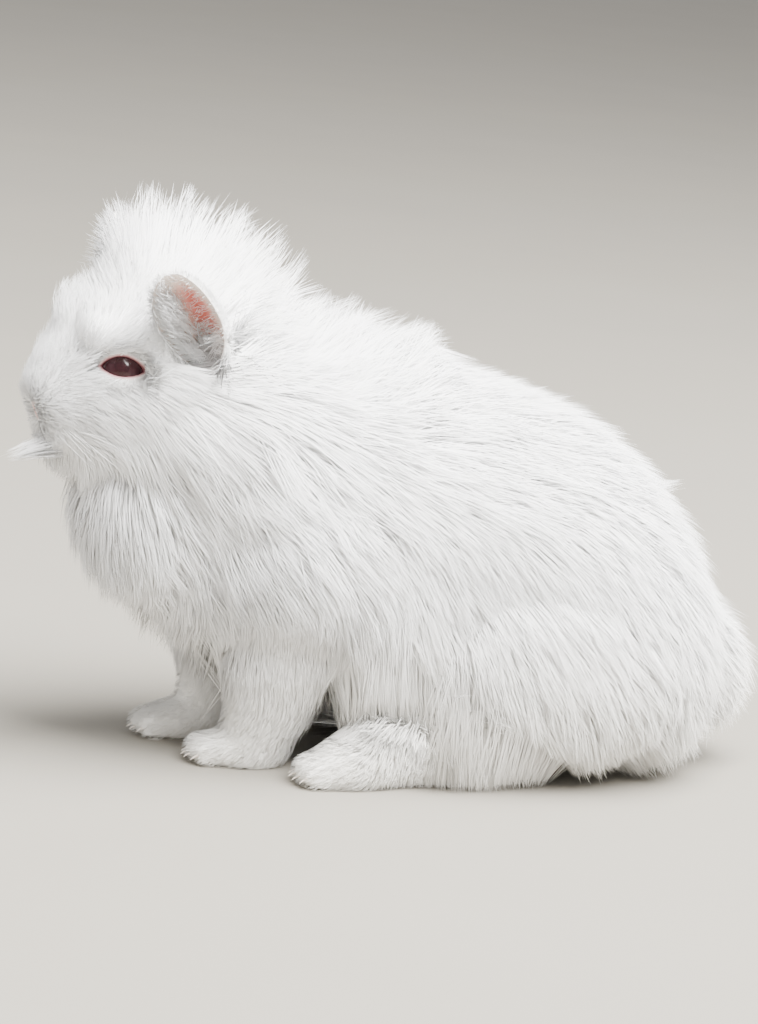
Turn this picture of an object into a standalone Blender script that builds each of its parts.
"""Young white lionhead rabbit, sitting up, as a still life-size model.

The rabbit faces -Y, its left side is +X and the floor is Z = 0. Sizes below are in millimetres and MM turns
them into metres. The flesh is one softened body made from lofts. It is thickened by a share of the coat's
depth, parted into nodes by thin cuts, and carries the mane and the long coat as flat, tapered locks.
"""

import math

import bmesh
import bpy
import numpy as np
from mathutils import Matrix, Vector
from mathutils.bvhtree import BVHTree

MM = 0.001
GAP = 0.3
SEED = 13

# Share of the coat's depth that the solid flesh takes up, and the grain of the softened body
CORE_SHARE = 0.45
LOCKS = True
VOXEL = 1.6
SOFTEN_ROUNDS = 4
BODY_TRIANGLES = 3200
LIMB_TRIANGLES = 380
FLAT_WITHIN = math.radians(2.5)

# Head: its middle, the pitch of its long axis below the horizontal, and its half-length to the nose
HEAD_MID = np.array([0.0, -86.5, 108.5])
HEAD_PITCH = math.radians(26)
NOSE_FORWARD = 28.5

# Eyes: middle of the left one, radius of the globe and of the lids, and the opening between the lids
EYE_MID = np.array([13.8, -92.4, 110.4])
EYE_RADIUS = 6.2
LID_RADIUS = 7.4
EYE_OPENING = (6.3, 3.1)
EYE_LOOK = np.array([0.93, -0.30, 0.38])
EYE_TILT = math.radians(-10)

# Ears: root, direction from root to tip, way the cup opens, and length
EAR_ROOT = np.array([13.5, -68.5, 117.0])
EAR_TIP_LEFT = np.array([35.0, -87.5, 139.8])
EAR_TIP_RIGHT = np.array([-19.0, -91.5, 150.0])
EAR_OPENS = np.array([0.82, -0.5, -0.15])
EAR_WALL = 1.6
EAR_BELL = 12.0

# Neck: the joints with the head and with the torso, as places on the neck's axis
NECK_AXIS = np.array([0.0, -0.786, 0.618])
HEAD_JOINT = np.array([0.0, -70.0, 100.0])
CROWN = np.array([0.0, -76.0, 132.0])
TORSO_JOINT = np.array([0.0, -54.0, 87.5])
JOINT_RADIUS = 27.0
# how far the collar leans back for each millimetre out: at the nape, the sides and the throat
COLLAR_LEAN = (0.3, 0.9, 0.8)

TAIL_ROOT = np.array([0.0, 76.0, 33.0])
TAIL_TIP = np.array([0.0, 93.0, 25.0])

# Torso rings: place along Y, lowest and highest Z, and half-width
TORSO_RINGS = (
    (-66, 54, 80, 13),
    (-59, 41, 93, 22),
    (-46, 31, 101, 28),
    (-30, 26, 105, 31),
    (-10, 23, 105, 34),
    (10, 21, 103, 37),
    (30, 18, 97, 40),
    (48, 14, 88, 40),
    (62, 12, 76, 36),
    (72, 14, 63, 28),
    (79, 22, 50, 17),
)
# Head rings: place along the head's axis, half-width, height above and depth below the axis
HEAD_RINGS = (
    (-25, 10, 12, 8),
    (-19, 16, 18, 15),
    (-10, 19, 20.5, 18.5),
    (-2, 19.5, 20, 19),
    (6, 18.0, 18, 18),
    (13, 15.5, 15.5, 16.5),
    (19, 12.8, 13, 15),
    (24.2, 10.5, 9.8, 12.5),
    (27.6, 7.5, 6.5, 8.5),
)
# Tubes: rows of x, y, z, half-width across and half-thickness along the limb's front-to-back
NECK_TUBE = ((0, -80, 106, 19, 19), (0, -66, 97, 21, 21), (0, -50, 85, 25, 25))
FORELEG_TUBE = (
    (19, -36, 52, 11, 15),
    (18, -38, 37, 11, 15),
    (16.5, -41, 24, 10, 13.5),
    (15.5, -44, 12, 9, 11.5),
    (15, -46, 5, 8.4, 10.5),
)
PAW_TUBE = (
    (15.5, -38, 6.5, 6.0, 6.0),
    (15.5, -43, 6.0, 8.0, 8.0),
    (15, -49, 5.2, 8.8, 7.6),
    (14.6, -55, 4.4, 8.2, 6.4),
    (14.3, -58.8, 3.8, 6.4, 5.2),
)
HINDFOOT_TUBE = (
    (27.2, 31, 6.2, 4.6, 5.4),
    (28, 26, 6.5, 6.8, 8.0),
    (29.5, 14, 7.4, 8.2, 9.6),
    (32, -4, 7.8, 9.0, 10.2),
    (34.5, -18.5, 6.8, 9.8, 9.6),
    (36, -28, 5.2, 9.4, 7.8),
    (36.8, -33.5, 3.8, 7.2, 5.6),
)
RIGHT_PAW_STEP = -8.0
# Haunch: middle, half-sizes, and lean of its long axis
HAUNCH_MID = (27.0, 34.0, 41.0)
HAUNCH_SIZE = (17.0, 34.0, 28.0)
HAUNCH_LEAN = math.radians(-14)

# Locks: distance between them, length, thickness in the middle, how deep the root is sunk, and how many draws
MANE_SPACING = 12.0
CROWN_SPACING = 9.0
BODY_SPACING = 20.0
TAIL_SPACING = 10.0
LOCK_LENGTH = 35.0
LOCK_THICK = 2.3
LOCK_SINK = 4.5
LOCK_DRAWS = 6000
LEAST_LOCK_DEPTH = 7.5

# The coat: place on the left side, and depth of coat there
COAT_DEPTHS = (
    (0, -113, 95, 1.5),
    (9, -105, 92, 3),
    (0, -103, 84, 9),
    (0, -109, 111, 5),
    (8, -105, 117, 4.5),
    (18, -95, 113, 1.5),
    (13, -98, 121, 5),
    (0, -97, 127, 14),
    (0, -82, 134, 31),
    (11, -80, 131, 18),
    (19, -82, 122, 3),
    (21, -77, 114, 3),
    (12, -66, 128, 26),
    (0, -66, 128, 36),
    (20, -92, 100, 8),
    (22, -78, 98, 15),
    (0, -88, 80, 15),
    (0, -50, 112, 32),
    (24, -62, 98, 20),
    (0, -68, 62, 19),
    (0, -58, 40, 19),
    (28, -46, 80, 14),
    (0, -32, 106, 27),
    (0, -12, 106, 22),
    (0, 14, 103, 13),
    (28, 14, 90, 11.5),
    (36, 10, 58, 10),
    (30, -4, 27, 10),
    (0, 0, 21, 6),
    (43, 36, 50, 10.5),
    (0, 52, 87, 15),
    (0, 76, 58, 15),
    (26, 66, 30, 16),
    (20, -40, 36, 5),
    (0, 92, 27, 15),
)
# Single tufts that stand out: place, direction, length and width
TUFTS = (
    ((4, -108, 88), (0.05, -0.95, -0.22), 10.5, 6),
    ((9, 66, 84), (0.10, 0.95, 0.25), 26, 11),
    ((18, 58, 84), (0.15, 0.97, 0.10), 24, 10),
    ((-6, 70, 80), (-0.05, 0.97, 0.15), 23, 10),
)
# The lie of the coat: place on the left side, and the way the hair points there
COAT_FLOW = (
    (0, -97, 127, 0, -0.50, 0.80),
    (0, -109, 112, 0, 0.25, 0.95),
    (0, -82, 134, 0, 0.10, 1.0),
    (12, -70, 128, 0.25, 0.45, 0.85),
    (0, -60, 124, 0, 0.60, 0.80),
    (20, -92, 100, 0.35, 0.60, -0.70),
    (22, -78, 98, 0.35, 0.70, -0.62),
    (0, -88, 84, 0, -0.10, -1.0),
    (0, -103, 84, 0, -0.55, -0.80),
    (0, -50, 112, 0, 0.50, 0.86),
    (24, -62, 98, 0.35, 0.75, -0.55),
    (0, -68, 62, 0, -0.05, -1.0),
    (0, -58, 40, 0, 0.15, -1.0),
    (28, -46, 80, 0.25, 0.70, -0.65),
    (0, -32, 106, 0, 0.50, 0.86),
    (0, -12, 106, 0, 0.80, 0.60),
    (0, 14, 102, 0, 1.0, 0.15),
    (28, 14, 90, 0.20, 0.95, -0.20),
    (36, 10, 58, 0.15, 0.60, -0.80),
    (30, -4, 27, 0.05, 0.45, -0.90),
    (43, 36, 50, 0.20, 0.60, -0.80),
    (0, 52, 87, 0, 0.90, -0.30),
    (0, 76, 58, 0, 0.60, -0.80),
    (26, 66, 30, 0.15, 0.50, -0.85),
    (0, 92, 30, 0, 0.90, -0.40),
)

HEAD_FRONT = np.array([0.0, -math.cos(HEAD_PITCH), -math.sin(HEAD_PITCH)])
HEAD_UP = np.array([0.0, -math.sin(HEAD_PITCH), math.cos(HEAD_PITCH)])
SIDE = np.array([1.0, 0.0, 0.0])


def unit(v):
    """The vector, or each row of an array of vectors, made one long."""
    v = np.asarray(v, float)
    return v / np.maximum(np.linalg.norm(v, axis=-1, keepdims=True), 1e-9)


def head_point(side, front, up):
    """A point given along the head's own axes."""
    return HEAD_MID + side * SIDE + front * HEAD_FRONT + up * HEAD_UP


def mirrored(point):
    """The same place on the rabbit's other side."""
    return np.asarray(point, float) * (-1, 1, 1)


def smooth_rows(rows, count):
    """A Catmull-Rom curve through the rows, read at count even steps."""
    rows = np.asarray(rows, float)
    padded = np.vstack([2 * rows[0] - rows[1], rows, 2 * rows[-1] - rows[-2]])
    t = np.linspace(0, len(rows) - 1, count)
    i = np.minimum(t.astype(int), len(rows) - 2)
    f = (t - i)[:, None]
    a, b, c, d = padded[i], padded[i + 1], padded[i + 2], padded[i + 3]
    return 0.5 * (2 * b + (c - a) * f + (2 * a - 5 * b + 4 * c - d) * f**2 + (3 * b - a - 3 * c + d) * f**3)


def new_object(name, points, faces, collection):
    """A mesh object from points in millimetres, with its faces pointing out."""
    mesh = bpy.data.meshes.new(name)
    mesh.from_pydata([tuple(p) for p in np.asarray(points, float) * MM], [], faces)
    bm = bmesh.new()
    bm.from_mesh(mesh)
    bmesh.ops.remove_doubles(bm, verts=bm.verts, dist=1e-6)
    bmesh.ops.recalc_face_normals(bm, faces=bm.faces)
    bmesh.ops.triangulate(bm, faces=bm.faces)
    bm.to_mesh(mesh)
    bm.free()
    obj = bpy.data.objects.new(name, mesh)
    collection.objects.link(obj)
    return obj


def grid_faces(rows, columns, first=0):
    """Quads between neighbouring rings of points, each ring closed."""
    faces = []
    for i in range(rows - 1):
        for j in range(columns):
            k = (j + 1) % columns
            a, b = first + i * columns, first + (i + 1) * columns
            faces.append((a + j, a + k, b + k, b + j))
    return faces


def loft(name, rings, collection, start=None, end=None):
    """A closed skin over rings of points, with a pole at each end where one is given."""
    rings = np.asarray(rings, float)
    m, n = rings.shape[:2]
    points = [tuple(p) for p in rings.reshape(-1, 3)]
    faces = grid_faces(m, n)
    for pole, row in ((start, 0), (end, m - 1)):
        ring = [row * n + j for j in range(n)]
        if pole is None:
            faces.append(tuple(ring))
            continue
        points.append(tuple(pole))
        faces += [(ring[j], ring[(j + 1) % n], len(points) - 1) for j in range(n)]
    return new_object(name, points, faces, collection)


def oval(count, power=2.2):
    """Sine and cosine of a superellipse, from the side round over the top."""
    angle = np.linspace(0, 2 * math.pi, count, endpoint=False)
    c, s = np.cos(angle), np.sin(angle)
    return np.sign(c) * np.abs(c) ** (2 / power), np.sign(s) * np.abs(s) ** (2 / power)


def torso_loft(collection):
    """The trunk from chest to rump, as upright ovals along Y."""
    rows = smooth_rows(TORSO_RINGS, 26)
    c, s = oval(28)
    rings = []
    for y, low, high, half in rows:
        z = (low + high) / 2 + s * (high - low) / 2
        rings.append(np.stack([half * c, np.full(len(c), y), z], axis=1))
    start = (0, TORSO_RINGS[0][0] - 4, 67)
    end = (0, TORSO_RINGS[-1][0] + 3, 36)
    return loft("trunk", rings, collection, start, end)


def head_loft(collection):
    """The skull and muzzle, as ovals along the head's axis."""
    c, s = oval(28)
    rings = []
    for front, half, above, below in smooth_rows(HEAD_RINGS, 24):
        up = np.where(s > 0, s * above, s * below)
        rings.append([head_point(half * a, front, b) for a, b in zip(c, up)])
    return loft("skull", rings, collection, head_point(0, -27, 2), head_point(0, NOSE_FORWARD, -1))


def tube(name, rows, collection, mirror=1, shift=0.0, count=14, around=18, grow=0.0):
    """A limb: ovals along a curved line, with domed ends."""
    rows = np.array(rows, float)
    rows[:, 0] *= mirror
    rows[:, 1] += shift
    rows = smooth_rows(rows, count)
    middle = rows[:, :3]
    along = unit(np.gradient(middle, axis=0))
    across = unit(SIDE - along * (along @ SIDE)[:, None])
    up = np.cross(across, along)
    c, s = oval(around, 2.1)
    wide, deep = rows[:, 3] + grow, rows[:, 4] + grow
    rings = (
        middle[:, None]
        + (wide[:, None] * c)[:, :, None] * across[:, None]
        + (deep[:, None] * s)[:, :, None] * up[:, None]
    )
    start = middle[0] - along[0] * rows[0, 4] * 0.6
    end = middle[-1] + along[-1] * rows[-1, 4] * 0.6
    return loft(name, rings, collection, start, end)


def ellipsoid(name, middle, size, collection, turn=None, segments=24):
    """A stretched sphere, turned about its middle."""
    bpy.ops.mesh.primitive_uv_sphere_add(segments=segments, ring_count=segments * 2 // 3, radius=1)
    obj = bpy.context.object
    obj.name = obj.data.name = name
    matrix = Matrix.Translation(Vector(middle) * MM) @ (turn or Matrix.Identity(4))
    obj.data.transform(matrix @ Matrix.Diagonal((*(s * MM for s in size), 1)))
    obj.matrix_world = Matrix.Identity(4)
    for owner in list(obj.users_collection):
        owner.objects.unlink(obj)
    collection.objects.link(obj)
    return obj


def mesh_arrays(obj):
    """Points in millimetres and triangles of an object as its modifiers leave it."""
    graph = bpy.context.evaluated_depsgraph_get()
    evaluated = obj.evaluated_get(graph)
    mesh = evaluated.to_mesh()
    mesh.calc_loop_triangles()
    points = np.empty(len(mesh.vertices) * 3)
    mesh.vertices.foreach_get("co", points)
    faces = np.empty(len(mesh.loop_triangles) * 3, int)
    mesh.loop_triangles.foreach_get("vertices", faces)
    evaluated.to_mesh_clear()
    return points.reshape(-1, 3) / MM, faces.reshape(-1, 3)


def bake_modifiers(obj):
    """Replaces the object's mesh by what its modifiers make of it."""
    graph = bpy.context.evaluated_depsgraph_get()
    mesh = bpy.data.meshes.new_from_object(obj.evaluated_get(graph))
    obj.modifiers.clear()
    old, obj.data = obj.data, mesh
    bpy.data.meshes.remove(old)


def joined(objects, name):
    """One object from several, with their shells left as they are."""
    bpy.ops.object.select_all(action="DESELECT")
    for obj in objects:
        obj.select_set(True)
    bpy.context.view_layer.objects.active = objects[0]
    bpy.ops.object.join()
    objects[0].name = objects[0].data.name = name
    return objects[0]


def remove(objects):
    """Deletes helper objects."""
    for obj in list(objects):
        bpy.data.objects.remove(obj)


def blended(points, guides, power=4):
    """Values at each point, blended by nearness from guides given for the left side and mirrored."""
    guides = np.array(guides, float)
    folded = points.copy()
    folded[:, 0] = np.abs(folded[:, 0])
    away = np.linalg.norm(folded[:, None] - guides[None, :, :3], axis=2)
    weight = 1 / np.maximum(away, 2.0) ** power
    values = weight @ guides[:, 3:] / weight.sum(axis=1)[:, None]
    if values.shape[1] == 3:
        values[:, 0] *= np.sign(points[:, 0])
    return values


def coat_depth(points):
    """Depth of the coat at each point."""
    return blended(points, COAT_DEPTHS)[:, 0]


def coat_flow(points):
    """Way the hair points at each point."""
    return unit(blended(points, COAT_FLOW))


def softened(obj, rounds=SOFTEN_ROUNDS, voxel=VOXEL):
    """Melts the shells of a mesh into one even skin."""
    remesh = obj.modifiers.new("blend", "REMESH")
    remesh.mode = "VOXEL"
    remesh.voxel_size = voxel * MM
    soften = obj.modifiers.new("soften", "SMOOTH")
    soften.factor = 0.5
    soften.iterations = rounds
    bake_modifiers(obj)


def lightened(obj, triangles):
    """Thins the mesh down to about this many triangles."""
    lighten = obj.modifiers.new("lighten", "DECIMATE")
    lighten.ratio = min(1.0, triangles / len(mesh_arrays(obj)[1]))
    bake_modifiers(obj)


def pushed_out(obj, distance):
    """Moves each point along its normal, by one distance or one for each point."""
    mesh = obj.data
    points = np.empty(len(mesh.vertices) * 3)
    mesh.vertices.foreach_get("co", points)
    normals = np.empty(len(mesh.vertices) * 3)
    mesh.vertices.foreach_get("normal", normals)
    points, normals = points.reshape(-1, 3) / MM, normals.reshape(-1, 3)
    if callable(distance):
        distance = distance(points)[:, None]
    mesh.vertices.foreach_set("co", ((points + normals * distance) * MM).ravel())
    mesh.update()


def soft_body(collection):
    """Trunk, neck, head, haunches and tail as one softened body, thickened by its share of the coat."""
    parts = [torso_loft(collection), head_loft(collection), tube("neck_core", NECK_TUBE, collection)]
    for side in (1, -1):
        middle = (HAUNCH_MID[0] * side, *HAUNCH_MID[1:])
        lean = Matrix.Rotation(HAUNCH_LEAN, 4, "X")
        parts.append(ellipsoid("haunch", middle, HAUNCH_SIZE, collection, lean))
        parts.append(ellipsoid("pad", head_point(4.6 * side, 22.2, -6.0), (6.0, 7.0, 5.6), collection))
        parts.append(ellipsoid("brow", head_point(10.8 * side, 4.5, 13.0), (5.2, 8.0, 4.2), collection))
        parts.append(ellipsoid("shoulder", (21 * side, -37, 60), (13, 20, 23), collection))
    parts.append(ellipsoid("chin", head_point(0, 18.4, -13.2), (6.5, 7.0, 4.5), collection))
    parts.append(ellipsoid("throat", (0, -74, 76), (18, 17, 22), collection))
    tail = ((*(TAIL_ROOT - (0, 8, -2)), 6, 6), (*(TAIL_ROOT + (0, 8, -2)), 7, 7), (*TAIL_TIP, 4.5, 4.5))
    parts.append(tube("tail_core", tail, collection))
    flesh = joined(parts, "flesh")
    softened(flesh)
    for _ in range(3):
        pushed_out(flesh, lambda points: coat_depth(points) * CORE_SHARE / 3)
        softened(flesh, 3)
    return flesh


def limb(name, tubes, mirror, shifts, collection):
    """A leg or foot of its own, softened and cut flat where it stands."""
    parts = [tube(name, rows, collection, mirror, shift) for rows, shift in zip(tubes, shifts)]
    x, y, z, half, deep = tubes[-1][-1]
    for k in (-1.5, -0.5, 0.5, 1.5):
        reach = half * (0.22 - 0.16 * abs(k))
        middle = ((x + k * half * 0.46) * mirror, y + shifts[-1] - reach, z + 0.4)
        parts.append(ellipsoid("toe", middle, (half * 0.27, half * 0.7, deep * 0.72), collection, segments=12))
    made = joined(parts, name)
    softened(made, 2, 0.9)
    lightened(made, LIMB_TRIANGLES)
    return made


def boolean(obj, other, operation):
    """Joins, cuts or keeps the common part of two closed meshes, for good."""
    modifier = obj.modifiers.new(operation.lower(), "BOOLEAN")
    modifier.operation = operation
    modifier.solver = "MANIFOLD"
    modifier.object = other
    bake_modifiers(obj)


def fused(obj, pieces):
    """Joins a collection of closed pieces to the object by one union, and removes the pieces."""
    modifier = obj.modifiers.new("fuse", "BOOLEAN")
    modifier.operation = "UNION"
    modifier.solver = "MANIFOLD"
    modifier.operand_type = "COLLECTION"
    modifier.collection = pieces
    bake_modifiers(obj)
    remove(pieces.objects)
    bpy.data.collections.remove(pieces)


def copy_of(obj, name, collection):
    """A copy with a mesh of its own."""
    made = obj.copy()
    made.data = obj.data.copy()
    made.name = made.data.name = name
    collection.objects.link(made)
    return made


def keep_largest(obj):
    """Drops every closed surface of the mesh but the largest."""
    bm = bmesh.new()
    bm.from_mesh(obj.data)
    left, shells = set(bm.verts), []
    while left:
        seed = left.pop()
        shell, edge = {seed}, [seed]
        while edge:
            vert = edge.pop()
            for link in vert.link_edges:
                other = link.other_vert(vert)
                if other in left:
                    left.remove(other)
                    shell.add(other)
                    edge.append(other)
        shells.append(shell)
    largest = max(shells, key=lambda shell: np.ptp(np.array([v.co for v in shell]), axis=0).prod())
    bmesh.ops.delete(bm, geom=[v for v in bm.verts if v not in largest], context="VERTS")
    bmesh.ops.dissolve_limit(bm, angle_limit=FLAT_WITHIN, verts=bm.verts, edges=bm.edges)
    bmesh.ops.triangulate(bm, faces=bm.faces)
    bm.to_mesh(obj.data)
    bm.free()


def box(name, middle, size, collection):
    """A plain block."""
    bpy.ops.mesh.primitive_cube_add(size=1)
    obj = bpy.context.object
    obj.name = obj.data.name = name
    obj.data.transform(Matrix.Translation(Vector(middle) * MM) @ Matrix.Diagonal((*(s * MM for s in size), 1)))
    for owner in list(obj.users_collection):
        owner.objects.unlink(obj)
    collection.objects.link(obj)
    return obj


def neck_zone(name, joint, grow, cutters):
    """The space in front of a joint of the neck: a disc inside the flesh, then a collar that leans back as
    far as the hair does at the nape, the sides and the throat, and a far dome."""
    up = unit(np.cross(NECK_AXIS, SIDE))
    up = up if up[2] > 0 else -up
    angle = np.linspace(0, 2 * math.pi, 24, endpoint=False)
    c, s = np.cos(angle), np.sin(angle)
    radial = c[:, None] * SIDE + s[:, None] * up
    slope = np.where(s > 0, COLLAR_LEAN[0], COLLAR_LEAN[2]) * s**2 + COLLAR_LEAN[1] * c**2
    outer, far = 78.0, 130.0
    origin = joint - NECK_AXIS * grow
    rings = [
        origin + radial * JOINT_RADIUS,
        origin + radial * outer - NECK_AXIS * ((outer - JOINT_RADIUS) * slope + grow)[:, None],
        origin + radial * outer + NECK_AXIS * far,
    ]
    return loft(name, rings, cutters, origin, origin + NECK_AXIS * far)


def haunch_zone(name, mirror, grow, cutters):
    """The space of a thigh: an oval column that leans back as it goes out, as the coat lies."""
    angle = np.linspace(0, 2 * math.pi, 24, endpoint=False)
    rings = []
    for out in (20.0 - grow, 75.0):
        y = 35 + (out - 40) * 0.9 + (36 + grow * 1.3) * np.cos(angle)
        z = 42 + (33 + grow * 1.1) * np.sin(angle)
        rings.append(np.stack([np.full(len(angle), out * mirror), y, z], axis=1))
    return loft(name, rings, cutters)


def tail_zone(name, grow, cutters):
    """The space of the tail: a disc inside the rump, then a collar flared back."""
    axis = unit(TAIL_TIP - TAIL_ROOT)
    up = np.cross(SIDE, axis)
    angle = np.linspace(0, 2 * math.pi, 20, endpoint=False)
    radial = np.cos(angle)[:, None] * SIDE + np.sin(angle)[:, None] * up
    origin = TAIL_ROOT + axis * (3.0 - grow)
    rings = [
        origin + radial * (12.0 + grow),
        origin + radial * (60.0 + grow) + axis * 48,
        origin + radial * 60.0 + axis * 90,
    ]
    return loft(name, rings, cutters, origin, origin + axis * 90)


def ear_axes(root, tip, mirror):
    """Way along the ear, way its cup opens, and way across."""
    axis = unit(tip - root)
    opens = EAR_OPENS * (mirror, 1, 1)
    opens = unit(opens - axis * (opens @ axis))
    return axis, opens, np.cross(axis, opens), np.linalg.norm(tip - root)


# Ear sections: place along the ear, radius of the arc, and half of its angle in degrees
EAR_SECTIONS = (
    (-0.10, 6.4, 142),
    (0.10, 7.4, 128),
    (0.28, 8.8, 100),
    (0.50, 10.0, 78),
    (0.72, 9.8, 62),
    (0.88, 8.6, 46),
    (0.97, 6.6, 24),
)


def ear_arc(axes, root, section, turn, inset, grow=0.0):
    """Points of one section of the ear, on a sheet inset from its back."""
    axis, opens, across, length = axes
    along, radius, degrees = section
    r = radius + grow - inset
    phi = turn * math.radians(degrees) * (1 + grow / radius)
    back = root + axis * (along * length) + opens * (along**2 * 4.0 - 6.0)
    return back + opens * (radius - r * np.cos(phi))[:, None] + across * (r * np.sin(phi))[:, None]


def ear(name, root, tip, mirror, collection):
    """A cupped ear: arcs along its back line, wrapped right round at the root, open in the middle and
    closing to the tip, with a wall that thins outwards."""
    axes = ear_axes(root, tip, mirror)
    sections = smooth_rows(EAR_SECTIONS, 10)
    turn = np.linspace(-1, 1, 9)
    sheets = []
    for face in (0, 1):
        sheets.append([ear_arc(axes, root, row, turn, face * EAR_WALL * (1.25 - 0.6 * row[0])) for row in sections])
    points = np.array(sheets).reshape(-1, 3)
    m, n = len(sections), len(turn)
    half = m * n
    faces = []
    for i in range(m - 1):
        for j in range(n - 1):
            a, b, c, d = i * n + j, i * n + j + 1, (i + 1) * n + j + 1, (i + 1) * n + j
            for t in ((a, b, c), (a, c, d)):
                faces.append(t)
                faces.append(tuple(half + k for k in reversed(t)))
    rim = list(range(n)) + [i * n + n - 1 for i in range(1, m)]
    rim += [(m - 1) * n + j for j in range(n - 2, -1, -1)] + [i * n for i in range(m - 2, 0, -1)]
    for k, a in enumerate(rim):
        b = rim[(k + 1) % len(rim)]
        faces.append((b, a, half + a))
        faces.append((b, half + a, half + b))
    return new_object(name, points, faces, collection)


def ear_room(name, root, tip, mirror, cutters):
    """All that the ear takes from the head's wool: the ear itself, grown by the gap, with the hollow of its
    cup and the way out of it."""
    axes = ear_axes(root, tip, mirror)
    opens = axes[1]
    turn = np.linspace(-1, 1, 9)
    rings = []
    pit = ((-0.20, 2.4, 142), (-0.17, 4.2, 142))
    rows = smooth_rows(((-0.14, 6.4, 142), *EAR_SECTIONS[1:], (1.08, 6.0, 20)), 7)
    for row in [*pit, *rows]:
        arc = ear_arc(axes, root, row, turn, 0.0, GAP * 1.5)
        reach = EAR_BELL * min(1.0, max(0.0, (row[0] + 0.06) / 0.2))
        rings.append(np.vstack([arc, arc[-1] + opens * reach, arc[0] + opens * reach]))
    return loft(name, rings, cutters)


def globe(name, middle, radius, collection, segments=20):
    """A ball."""
    return ellipsoid(name, middle, (radius,) * 3, collection, segments=segments)


def eye_slit(name, mirror, cutters):
    """The almond gap between the lids, cut outwards from the middle of the eye."""
    look = unit(EYE_LOOK)
    long_way = unit(np.cross(look, (0, 0, 1)))
    up = unit(np.cross(long_way, look))
    long_way, up = (
        long_way * math.cos(EYE_TILT) + up * math.sin(EYE_TILT),
        up * math.cos(EYE_TILT) - long_way * math.sin(EYE_TILT),
    )
    angle = np.linspace(0, 2 * math.pi, 16, endpoint=False)
    wide, tall = EYE_OPENING
    height = tall * np.sin(angle) * np.sqrt(np.abs(np.sin(angle)))
    outline = (wide * np.cos(angle))[:, None] * long_way + height[:, None] * up
    rings = [(EYE_MID + outline * 0.9) * (mirror, 1, 1), (EYE_MID + look * 24 + outline * 1.2) * (mirror, 1, 1)]
    return loft(name, rings, cutters)


def mouth_cutters(cutters):
    """Thin cuts for the line of the mouth, the groove under the nose and the nostrils."""
    made = []
    t = np.linspace(-1, 1, 9)
    line = [head_point(7.5 * k, 24.7 - 6.5 * k * k, -10.2 - 1.5 * abs(k) + 0.6 * k * k) for k in t]
    rings = []
    for k, p in zip(t, line):
        tall, deep = 0.35 * (1.05 - abs(k)), 9.0
        rings.append([p + HEAD_UP * tall + HEAD_FRONT * deep, p - HEAD_UP * tall + HEAD_FRONT * deep,
                      p - HEAD_UP * tall - HEAD_FRONT * 1.5, p + HEAD_UP * tall - HEAD_FRONT * 1.5])
    made.append(loft("mouth", rings, cutters))
    groove = [head_point(0.35 * a, f, u) for u in (-10.5, -3.0) for a, f in ((1, 38), (-1, 38), (-1, 26.0), (1, 26.0))]
    made.append(loft("groove", [groove[:4], groove[4:]], cutters))
    for side in (1, -1):
        turn = Matrix.Rotation(math.radians(-32 * side), 4, "Y") @ Matrix.Rotation(HEAD_PITCH, 4, "X")
        made.append(ellipsoid("nostril", head_point(2.3 * side, NOSE_FORWARD, 0.4), (0.75, 2.4, 1.9), cutters, turn, 12))
    return made


def lock_roots(flesh, rng):
    """Places on the flesh where locks grow, spread evenly by seeded draws."""
    points, faces = mesh_arrays(flesh)
    corners = points[faces]
    normal = np.cross(corners[:, 1] - corners[:, 0], corners[:, 2] - corners[:, 0])
    area = np.linalg.norm(normal, axis=1)
    pick = rng.choice(len(faces), LOCK_DRAWS, p=area / area.sum())
    a, b = np.sqrt(rng.random(LOCK_DRAWS)), rng.random(LOCK_DRAWS)
    weights = np.stack([1 - a, a * (1 - b), a * b], axis=1)
    places = (corners[pick] * weights[:, :, None]).sum(axis=1)
    depth = coat_depth(places)
    kept = []
    for k in np.nonzero((depth > LEAST_LOCK_DEPTH) & (places[:, 2] > 5))[0]:
        wide = lock_spacing(places[k])
        if all(np.linalg.norm(places[k] - places[j]) > min(wide, lock_spacing(places[j])) for j in kept):
            kept.append(k)
    return places[kept]


def lock_spacing(place):
    """Distance between locks: close in the mane, wider on the body."""
    from_head = np.interp(np.linalg.norm(place - HEAD_JOINT), (35, 75), (MANE_SPACING, BODY_SPACING))
    from_tail = np.interp(np.linalg.norm(place - TAIL_TIP), (12, 30), (TAIL_SPACING, BODY_SPACING))
    from_crown = np.interp(np.linalg.norm(place - CROWN), (18, 40), (CROWN_SPACING, BODY_SPACING))
    return float(min(from_head, from_tail, from_crown))


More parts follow.
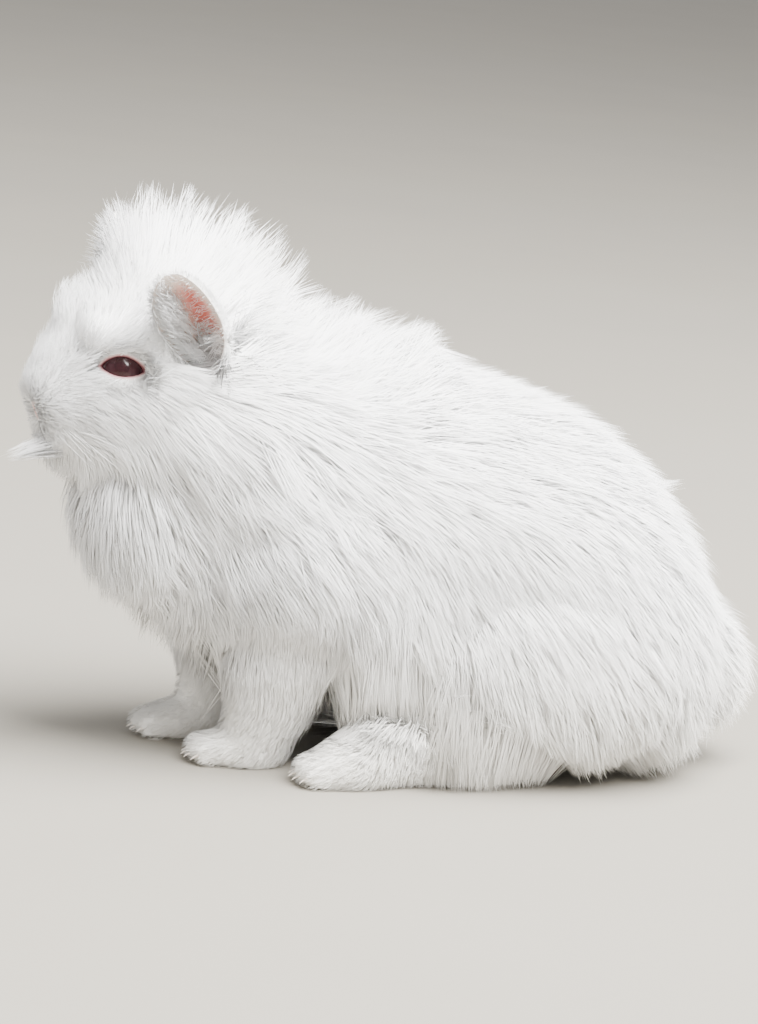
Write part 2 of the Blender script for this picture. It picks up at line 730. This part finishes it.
def lock(name, place, tree, rng, collection):
    """One flat, tapered lock: its root is sunk in the flesh, and it runs along the lie of the coat, rising to
    the coat's full depth at its tip."""
    here = np.asarray(place, float)
    wide = lock_spacing(here) * rng.uniform(0.58, 0.78)
    depth = coat_depth(here[None])[0]
    length = (LOCK_LENGTH + 0.2 * depth) * rng.uniform(0.88, 1.15)
    swing = rng.normal(0, 0.16)
    stations, normals = [], []
    steps = 9
    for k in range(steps + 1):
        hit, normal, _, _ = tree.find_nearest(Vector(here))
        here, normal = np.array(hit), np.array(normal)
        stations.append(here)
        normals.append(normal)
        flow = coat_flow(here[None])[0]
        flat = flow - normal * (flow @ normal)
        strength = np.linalg.norm(flat)
        flat = unit(flat + np.cross(normal, flat) * swing)
        here = here + flat * length / steps * max(0.3, strength)
    stations, normals = np.array(stations), np.array(normals)
    share = np.linspace(0, 1, steps + 1)
    rise = (1 - CORE_SHARE) * coat_depth(stations[[0, 5]]).mean() * rng.uniform(0.9, 1.1)
    height = rise * share**0.85 - LOCK_SINK * (1 - share) ** 4
    spine = stations + normals * height[:, None]
    spine[:, 2] = np.maximum(spine[:, 2], 1.8)
    rows = [0, 3, 6, 9]
    spine, normals = spine[rows], normals[rows]
    along = unit(np.gradient(spine, axis=0))
    across = unit(np.cross(normals, along))
    top = np.cross(along, across)
    roll = rng.normal(0, 0.15)
    across, top = across * math.cos(roll) + top * math.sin(roll), top * math.cos(roll) - across * math.sin(roll)
    half = wide / 2 * np.array([0.7, 1.0, 0.56])
    thick = LOCK_THICK * np.array([1.15, 1.0, 0.75])
    rings = []
    for k in range(3):
        p, a, t = spine[k], across[k] * half[k], top[k] * thick[k]
        rings.append([p - a, p + t * 0.6, p + a, p - t * 0.4])
    base = spine[0] - along[0] * 0.5
    return loft(name, rings, collection, base, spine[3])


def tuft(name, place, way, length, wide, tree, collection):
    """A single lock that stands out from the coat and droops a little at its tip."""
    hit, normal, _, _ = tree.find_nearest(Vector(place))
    way = unit(way)
    share = np.array([0.0, 0.3, 0.65, 1.0])
    spine = np.array(hit) - way * LOCK_SINK + way * (share * (length + LOCK_SINK))[:, None]
    spine[:, 2] -= 0.08 * length * share**2
    across = unit(np.cross(way, (0, 0, 1)))
    top = np.cross(across, way)
    rings = []
    for p, broad, thick in zip(spine[:3], (0.7, 1.0, 0.66), (1.2, 1.0, 0.7)):
        a, t = across * wide / 2 * broad, top * LOCK_THICK * thick
        rings.append([p - a, p + t * 0.6, p + a, p - t * 0.4])
    return loft(name, rings, collection, spine[0] - way, spine[3])


def coat_of_locks(flesh, nodes, rng):
    """Every lock, in one collection for each node that it grows from."""
    tree = BVHTree.FromPolygons(*[list(map(tuple, part)) for part in mesh_arrays(flesh)])
    owners = {}
    for name, obj in nodes.items():
        owners[name] = BVHTree.FromPolygons(*[list(map(tuple, part)) for part in mesh_arrays(obj)])
    groups = {name: bpy.data.collections.new("locks_" + name) for name in nodes}
    places = lock_roots(flesh, rng)

    def owner_of(place):
        return min(owners, key=lambda name: owners[name].find_nearest(Vector(place))[3])

    for k, place in enumerate(places):
        lock(f"lock_{k}", place, tree, rng, groups[owner_of(place)])
    for k, (place, way, length, wide) in enumerate(TUFTS):
        tuft(f"tuft_{k}", place, way, length, wide, tree, groups[owner_of(place)])
    return groups


def finish_material(obj, name, colour, roughness):
    """Gives the object its own plain finish."""
    material = bpy.data.materials.get(name) or bpy.data.materials.new(name)
    material.use_nodes = True
    shader = material.node_tree.nodes["Principled BSDF"]
    shader.inputs["Base Color"].default_value = (*colour, 1)
    shader.inputs["Roughness"].default_value = roughness
    obj.data.materials.clear()
    obj.data.materials.append(material)


def main():
    """Builds every node of the rabbit."""
    remove(bpy.data.objects)
    scene = bpy.context.scene.collection
    rabbit = bpy.data.collections.new("lionhead_rabbit")
    cutters = bpy.data.collections.new("cutters")
    scene.children.link(rabbit)
    scene.children.link(cutters)
    rng = np.random.default_rng(SEED)

    flesh = soft_body(cutters)
    lightened(flesh, BODY_TRIANGLES)
    ground = box("ground", (0, 0, -50), (500, 500, 100), cutters)

    head_zone = neck_zone("head_zone", HEAD_JOINT, 0, cutters)
    head_zone_wide = neck_zone("head_zone_wide", HEAD_JOINT, GAP * 1.4, cutters)
    throat_zone = neck_zone("throat_zone", TORSO_JOINT, 0, cutters)
    throat_zone_wide = neck_zone("throat_zone_wide", TORSO_JOINT, GAP * 1.4, cutters)
    tail_room = tail_zone("tail_room", 0, cutters)
    tail_room_wide = tail_zone("tail_room_wide", GAP, cutters)
    thigh_rooms = {side: haunch_zone("room_" + side, m, 0, cutters) for side, m in (("left", 1), ("right", -1))}
    thigh_rooms_wide = {side: haunch_zone("wide_" + side, m, GAP, cutters) for side, m in (("left", 1), ("right", -1))}

    # each coated node: what it keeps within, and what it gives up
    plan = {
        "head": ([head_zone], []),
        "neck": ([throat_zone], [head_zone_wide]),
        "torso": ([], [throat_zone_wide, tail_room_wide, *thigh_rooms_wide.values()]),
        "thigh_left": ([thigh_rooms["left"]], [tail_room_wide, throat_zone_wide]),
        "thigh_right": ([thigh_rooms["right"]], [tail_room_wide, throat_zone_wide]),
        "tail": ([tail_room], []),
    }

    def parted(name, body):
        inside, outside = plan[name]
        for zone in inside:
            boolean(body, zone, "INTERSECT")
        for zone in [*outside, ground]:
            boolean(body, zone, "DIFFERENCE")

    nodes = {}
    locks = {}
    if LOCKS:
        bare = {}
        for name in plan:
            bare[name] = copy_of(flesh, "bare_" + name, cutters)
            parted(name, bare[name])
            locks = coat_of_locks(flesh, bare, rng)
    for name in plan:
        body = nodes[name] = copy_of(flesh, name, rabbit)
        if name in locks:
            fused(body, locks[name])
        parted(name, body)

    for side, mirror, step in (("left", 1, 0.0), ("right", -1, RIGHT_PAW_STEP)):
        arm = limb("foreleg_" + side, (FORELEG_TUBE, PAW_TUBE), mirror, (step * 0.6, step), rabbit)
        foot = limb("hindfoot_" + side, (HINDFOOT_TUBE,), mirror, (0.0,), rabbit)
        for made in (arm, foot):
            room = copy_of(made, "room", cutters)
            pushed_out(room, GAP * 1.25)
            for name in ("torso", "neck", "thigh_" + side):
                boolean(nodes[name], room, "DIFFERENCE")
            boolean(made, ground, "DIFFERENCE")
            nodes[made.name] = made
        tip = EAR_TIP_LEFT if mirror > 0 else EAR_TIP_RIGHT
        middle = EYE_MID * (mirror, 1, 1)
        root = EAR_ROOT * (mirror, 1, 1)
        nodes["ear_" + side] = ear("ear_" + side, root, tip, mirror, rabbit)
        nodes["eye_" + side] = globe("eye_" + side, middle, EYE_RADIUS, rabbit, 16)
        boolean(nodes["head"], globe("lids_" + side, middle, LID_RADIUS, cutters, 16), "UNION")
        boolean(nodes["head"], globe("socket_" + side, middle, EYE_RADIUS + GAP, cutters, 12), "DIFFERENCE")
        boolean(nodes["head"], eye_slit("slit_" + side, mirror, cutters), "DIFFERENCE")
        for name in ("head", "neck"):
            boolean(nodes[name], ear_room("ear_room_" + side, root, tip, mirror, cutters), "DIFFERENCE")
    for cutter in mouth_cutters(cutters):
        boolean(nodes["head"], cutter, "DIFFERENCE")

    for name, obj in nodes.items():
        keep_largest(obj)
        if name.startswith("eye"):
            finish_material(obj, "eye", (0.11, 0.02, 0.02), 0.1)
        elif name.startswith("ear"):
            finish_material(obj, "ear", (0.85, 0.62, 0.56), 0.6)
        else:
            finish_material(obj, "coat", (0.86, 0.85, 0.82), 0.9)
    remove(cutters.objects)

    # the floor under the middle of the rabbit is the origin
    corners = np.vstack([mesh_arrays(obj)[0] for obj in nodes.values()])
    low, high = corners.min(axis=0), corners.max(axis=0)
    shift = Matrix.Translation(Vector(-np.array([(low[0] + high[0]) / 2, (low[1] + high[1]) / 2, low[2]])) * MM)
    for obj in nodes.values():
        obj.data.transform(shift)


main()
